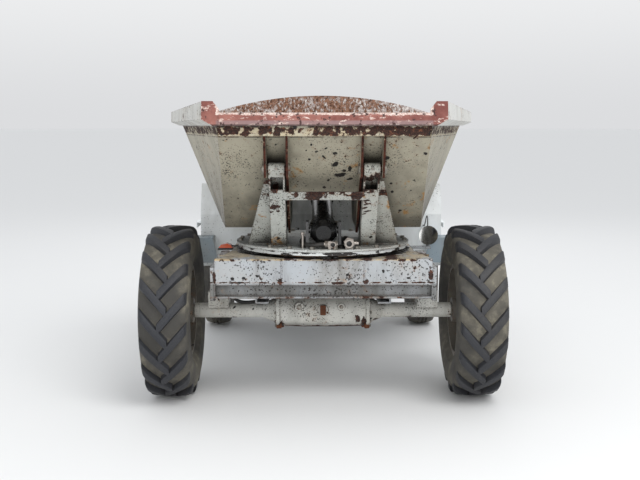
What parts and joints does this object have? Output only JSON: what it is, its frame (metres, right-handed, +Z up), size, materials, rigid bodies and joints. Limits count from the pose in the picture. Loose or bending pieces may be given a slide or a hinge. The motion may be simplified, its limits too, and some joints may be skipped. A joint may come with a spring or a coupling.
{
  "type": "site dumper",
  "caption": "Small four-wheel site dumper with a slewing, forward-tipping skip on posts, lugged front wheels and rear-wheel steering.",
  "frame": {"origin": "on the floor, at the centre of the bounding box's bottom", "axes": "-Y is the front of the machine, where the skip's lip is; +Z is up; X runs across"},
  "size_m": [1.63, 2.73, 1.4168],
  "materials": {
    "frame_paint": "worn satin paint with chips and rust",
    "skip_paint": "worn satin paint with chips and rust",
    "lip_red": "worn oxide red paint",
    "step_paint": "satin blue-grey paint",
    "black_steel": "gloss black paint",
    "bare_steel": "worn machined steel",
    "cast": "rough casting",
    "engine_block": "dull",
    "tyre": "dusty rubber",
    "plastic": "matte",
    "seat_vinyl": "matte vinyl",
    "lamp_chrome": "polished",
    "lamp_glass": "clear",
    "indicator_lens": "gloss"
  },
  "bodies": {
    "chassis": {"front_frame": "frame_paint", "chassis_rails": "frame_paint", "slew_ring": "bare_steel", "front_axle": "frame_paint", "axle_clamps": "frame_paint", "driveline": "cast", "engine": "engine_block", "rear_axle": "frame_paint", "scuttle_panel": "frame_paint", "footplates": "step_paint", "side_tanks": "frame_paint", "fenders": "frame_paint", "counterweight": "frame_paint", "steering_column": "plastic", "controls": "plastic", "headlamp": "lamp_chrome", "headlamp_glass": "lamp_glass", "indicator": "indicator_lens", "exhaust": "bare_steel"},
    "bonnet": {"bonnet": "frame_paint", "rear_grille": "plastic", "seat_shell": "plastic", "seat_cushion": "seat_vinyl", "seat_back": "seat_vinyl"},
    "steering_wheel": {"steering_wheel": "plastic"},
    "knuckle_left": {"knuckle_left": "cast"},
    "knuckle_right": {"knuckle_right": "cast"},
    "tie_rod": {"tie_rod": "bare_steel"},
    "front_wheel_left": {"front_tyre_left": "tyre", "front_rim_left": "frame_paint"},
    "front_wheel_right": {"front_tyre_right": "tyre", "front_rim_right": "frame_paint"},
    "rear_wheel_left": {"rear_tyre_left": "tyre", "rear_rim_left": "frame_paint"},
    "rear_wheel_right": {"rear_tyre_right": "tyre", "rear_rim_right": "frame_paint"},
    "turntable": {"turntable_plate": "frame_paint", "posts": "frame_paint", "hydraulic_fittings": "bare_steel"},
    "skip": {"skip_shell": "skip_paint", "lip_bar": "lip_red", "side_rims": "skip_paint", "hinge_plates": "skip_paint"},
    "ram_barrel": {"ram_barrel": "black_steel"},
    "ram_rod": {"ram_rod": "lamp_chrome"}
  },
  "joints": [
    {"name": "front_wheel_left_spin", "type": "hinge", "parent": "chassis", "child": "front_wheel_left", "pos_m": [-0.701, -0.745, 0.4], "axis": [1, 0, 0], "continuous": true},
    {"name": "front_wheel_right_spin", "type": "hinge", "parent": "chassis", "child": "front_wheel_right", "pos_m": [0.701, -0.745, 0.4], "axis": [1, 0, 0], "continuous": true},
    {"name": "steer_left", "type": "hinge", "parent": "chassis", "child": "knuckle_left", "pos_m": [-0.5, 0.895, 0.32], "axis": [0, 0, 1], "range_deg": [-30, 30]},
    {"name": "steer_right", "type": "hinge", "parent": "chassis", "child": "knuckle_right", "pos_m": [0.5, 0.895, 0.32], "axis": [0, 0, 1], "range_deg": [-30, 30]},
    {"name": "tie_rod_pivot", "type": "hinge", "parent": "knuckle_left", "child": "tie_rod", "pos_m": [-0.5, 1.045, 0.29], "axis": [0, 0, 1], "range_deg": [-30, 30]},
    {"name": "rear_wheel_left_spin", "type": "hinge", "parent": "knuckle_left", "child": "rear_wheel_left", "pos_m": [-0.645, 0.895, 0.32], "axis": [1, 0, 0], "continuous": true},
    {"name": "rear_wheel_right_spin", "type": "hinge", "parent": "knuckle_right", "child": "rear_wheel_right", "pos_m": [0.645, 0.895, 0.32], "axis": [1, 0, 0], "continuous": true},
    {"name": "steering_wheel_turn", "type": "hinge", "parent": "chassis", "child": "steering_wheel", "pos_m": [0, 0.455, 1.08], "axis": [0, 0.53, 0.848], "range_deg": [-240, 240]},
    {"name": "slew", "type": "hinge", "parent": "chassis", "child": "turntable", "pos_m": [0, -0.655, 0.705], "axis": [0, 0, 1], "range_deg": [-90, 90]},
    {"name": "skip_tip", "type": "hinge", "parent": "turntable", "child": "skip", "pos_m": [0, -1.22, 1.085], "axis": [1, 0, 0], "range_deg": [0, 80]},
    {"name": "ram_swing", "type": "hinge", "parent": "turntable", "child": "ram_barrel", "pos_m": [0, -0.945, 0.8], "axis": [1, 0, 0], "range_deg": [0, 80]},
    {"name": "ram_slide", "type": "slide", "parent": "ram_barrel", "child": "ram_rod", "axis": [0, 0.9903, 0.1392], "range_m": [0, 0.52]},
    {"name": "bonnet_hinge", "type": "hinge", "parent": "chassis", "child": "bonnet", "pos_m": [0, 1.319, 0.606], "axis": [-1, 0, 0], "range_deg": [0, 60]}
  ],
  "couplings": [
    {"joint": "steer_right", "follows": "steer_left", "ratio": 1},
    {"joint": "tie_rod_pivot", "follows": "steer_left", "ratio": -1},
    {"joint": "steering_wheel_turn", "follows": "steer_left", "ratio": -8},
    {"joint": "ram_swing", "follows": "skip_tip", "ratio": 0.97975},
    {"joint": "ram_slide", "follows": "skip_tip", "m_per_rad": 0.36411}
  ]
}
